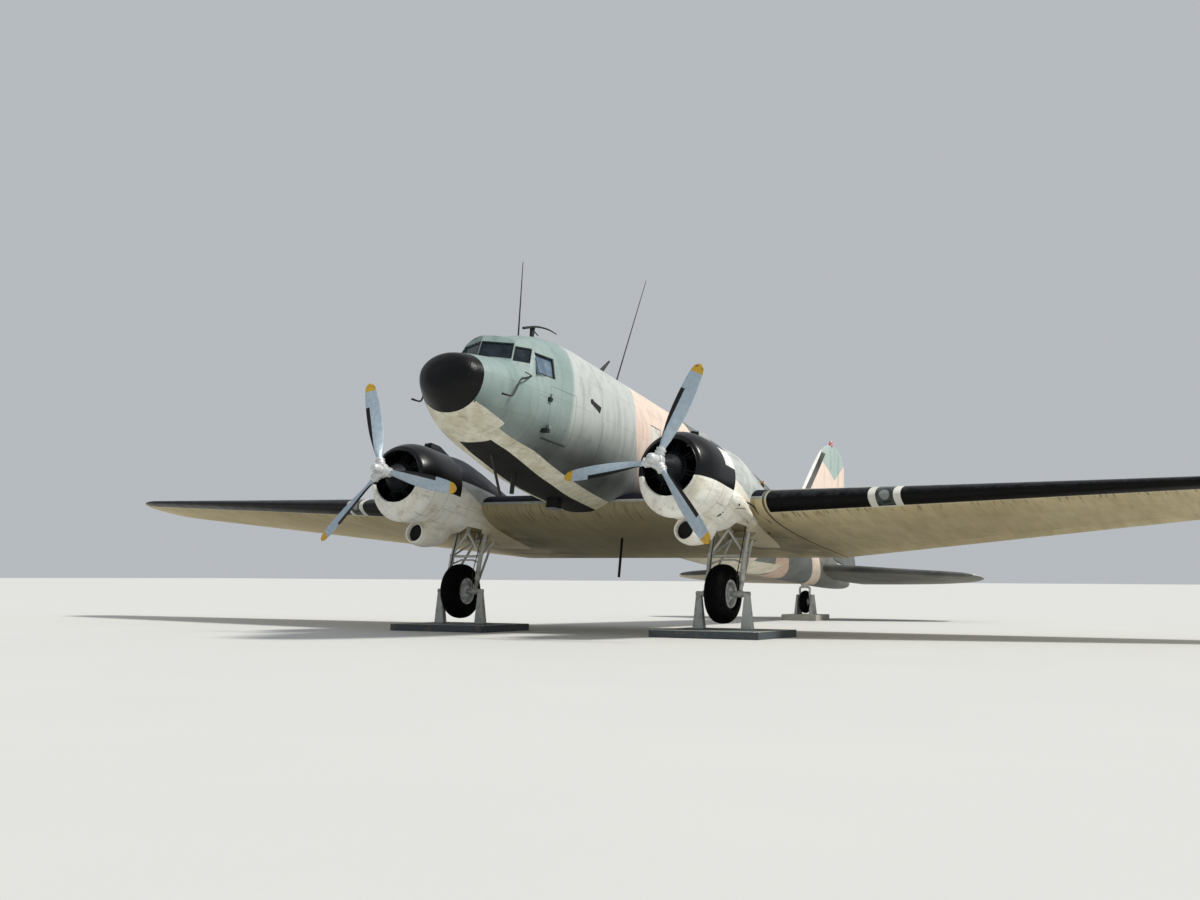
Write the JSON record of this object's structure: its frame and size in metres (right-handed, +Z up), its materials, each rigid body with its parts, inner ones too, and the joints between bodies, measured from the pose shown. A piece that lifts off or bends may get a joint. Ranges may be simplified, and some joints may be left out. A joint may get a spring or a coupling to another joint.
{
  "type": "military transport aeroplane",
  "caption": "Low-wing transport aeroplane with radial engines and a tail wheel, parked on display stands; doors, flaps and controls move.",
  "frame": {"origin": "on the ground below the middle of the overall box", "axes": "+X to the port wing tip, +Y aft, +Z up from the ground the stands rest on"},
  "size_m": [29.11, 19.203, 7.0496],
  "materials": {
    "painted_skin": "satin, weathered",
    "nose_cap": "semi-gloss black",
    "wing_skin": "matt, weathered",
    "engine_cowling": "satin, weathered",
    "engine_metal": "dull",
    "propeller_metal": "painted and bare, satin",
    "gear_metal": "satin grey",
    "hub_metal": "painted grey",
    "tyre_rubber": "matt",
    "window_glass": "clear, dusty",
    "window_cover": "matt",
    "cabin_trim": "matt",
    "stand_steel": "matt"
  },
  "bodies": {
    "airframe": {"nose_shell": "painted_skin", "cabin_shell": "painted_skin", "tail_cone": "painted_skin", "fin": "painted_skin", "stabiliser": "painted_skin", "nose_cap": "nose_cap", "wing_centre": "wing_skin", "wing_port": "wing_skin", "wing_starboard": "wing_skin", "cowl_port": "engine_cowling", "cowl_starboard": "engine_cowling", "nacelle_port": "engine_cowling", "nacelle_starboard": "engine_cowling", "oil_cooler_port": "engine_cowling", "oil_cooler_starboard": "engine_cowling", "exhaust_port": "engine_cowling", "exhaust_starboard": "engine_cowling", "engine_port": "engine_metal", "engine_starboard": "engine_metal", "main_gear_port": "gear_metal", "main_gear_starboard": "gear_metal", "tail_gear": "gear_metal", "windshield_port": "window_glass", "windshield_starboard": "window_glass", "quarter_pane_port": "window_glass", "quarter_pane_starboard": "window_glass", "side_window_port": "window_glass", "side_window_starboard": "window_glass", "window_blanks_port": "window_cover", "window_blanks_starboard": "window_cover", "cockpit_floor": "cabin_trim", "cabin_floor": "cabin_trim", "instrument_panel": "cabin_trim", "crew_seat_port": "cabin_trim", "crew_seat_starboard": "cabin_trim", "stand_port": "stand_steel", "stand_starboard": "stand_steel", "stand_tail": "stand_steel"},
    "propeller_port": {"propeller_port": "propeller_metal"},
    "propeller_starboard": {"propeller_starboard": "propeller_metal"},
    "wheel_port": {"main_tyre_port": "tyre_rubber", "main_hub_port": "hub_metal"},
    "wheel_starboard": {"main_tyre_starboard": "tyre_rubber", "main_hub_starboard": "hub_metal"},
    "wheel_tail": {"tail_tyre": "tyre_rubber", "tail_hub": "hub_metal"},
    "rudder": {"rudder": "painted_skin"},
    "elevator_port": {"elevator_port": "painted_skin"},
    "elevator_starboard": {"elevator_starboard": "painted_skin"},
    "aileron_port": {"aileron_port": "wing_skin"},
    "aileron_starboard": {"aileron_starboard": "wing_skin"},
    "flap_centre": {"flap_centre": "wing_skin"},
    "flap_port": {"flap_port": "wing_skin"},
    "flap_starboard": {"flap_starboard": "wing_skin"},
    "crew_door": {"crew_door": "painted_skin"},
    "cargo_door_front": {"cargo_door_front": "painted_skin"},
    "cargo_door_rear": {"cargo_door_rear": "painted_skin"}
  },
  "joints": [
    {"name": "propeller_port_spin", "type": "hinge", "parent": "airframe", "child": "propeller_port", "pos_m": [2.82, -7.397, 2.973], "axis": [0, -0.9851, 0.1719], "continuous": true},
    {"name": "propeller_starboard_spin", "type": "hinge", "parent": "airframe", "child": "propeller_starboard", "pos_m": [-2.82, -7.397, 2.973], "axis": [0, -0.9851, 0.1719], "continuous": true},
    {"name": "wheel_port_roll", "type": "hinge", "parent": "airframe", "child": "wheel_port", "pos_m": [2.82, -4.808, 0.765], "axis": [1, 0, 0], "continuous": true},
    {"name": "wheel_starboard_roll", "type": "hinge", "parent": "airframe", "child": "wheel_starboard", "pos_m": [-2.82, -4.808, 0.765], "axis": [1, 0, 0], "continuous": true},
    {"name": "wheel_tail_roll", "type": "hinge", "parent": "airframe", "child": "wheel_tail", "pos_m": [0, 6.0698, 0.4501], "axis": [1, 0, 0], "continuous": true},
    {"name": "rudder_yaw", "type": "hinge", "parent": "airframe", "child": "rudder", "pos_m": [0, 8.0191, 2.3127], "axis": [0, 0.1719, 0.9851], "range_deg": [-25, 25]},
    {"name": "elevator_port_pitch", "type": "hinge", "parent": "airframe", "child": "elevator_port", "pos_m": [2, 7.3749, 1.0649], "axis": [-1, 0, 0], "range_deg": [-30, 20]},
    {"name": "elevator_starboard_pitch", "type": "hinge", "parent": "airframe", "child": "elevator_starboard", "pos_m": [-2, 7.3749, 1.0649], "axis": [-1, 0, 0], "range_deg": [-30, 20]},
    {"name": "aileron_port_roll", "type": "hinge", "parent": "airframe", "child": "aileron_port", "pos_m": [8.64, -1.2681, 2.1035], "axis": [-0.9947, -0.0497, -0.0905], "range_deg": [-25, 25]},
    {"name": "aileron_starboard_roll", "type": "hinge", "parent": "airframe", "child": "aileron_starboard", "pos_m": [-8.64, -1.2681, 2.1035], "axis": [-0.9947, 0.0497, 0.0905], "range_deg": [-25, 25]},
    {"name": "flap_centre_drop", "type": "hinge", "parent": "airframe", "child": "flap_centre", "pos_m": [-3.62, -1.6273, 1.5574], "axis": [-1, 0, 0], "range_deg": [0, 45]},
    {"name": "flap_port_drop", "type": "hinge", "parent": "airframe", "child": "flap_port", "pos_m": [3.72, -1.6262, 1.5638], "axis": [-0.9934, -0.0587, -0.0983], "range_deg": [0, 45]},
    {"name": "flap_starboard_drop", "type": "hinge", "parent": "airframe", "child": "flap_starboard", "pos_m": [-3.72, -1.6262, 1.5638], "axis": [-0.9934, 0.0587, 0.0983], "range_deg": [0, 45]},
    {"name": "crew_door_swing", "type": "hinge", "parent": "airframe", "child": "crew_door", "pos_m": [1.0328, -7.8234, 3.7986], "axis": [0, -0.1719, -0.9851], "range_deg": [0, 95]},
    {"name": "cargo_door_front_swing", "type": "hinge", "parent": "airframe", "child": "cargo_door_front", "pos_m": [1.2316, 0.599, 2.5596], "axis": [0, -0.1719, -0.9851], "range_deg": [0, 110]},
    {"name": "cargo_door_rear_swing", "type": "hinge", "parent": "airframe", "child": "cargo_door_rear", "pos_m": [1.0499, 2.6665, 2.1683], "axis": [0, 0.1719, 0.9851], "range_deg": [0, 110]}
  ],
  "couplings": [
    {"joint": "elevator_starboard_pitch", "follows": "elevator_port_pitch", "ratio": 1},
    {"joint": "aileron_starboard_roll", "follows": "aileron_port_roll", "ratio": -1},
    {"joint": "flap_port_drop", "follows": "flap_centre_drop", "ratio": 1},
    {"joint": "flap_starboard_drop", "follows": "flap_centre_drop", "ratio": 1}
  ]
}
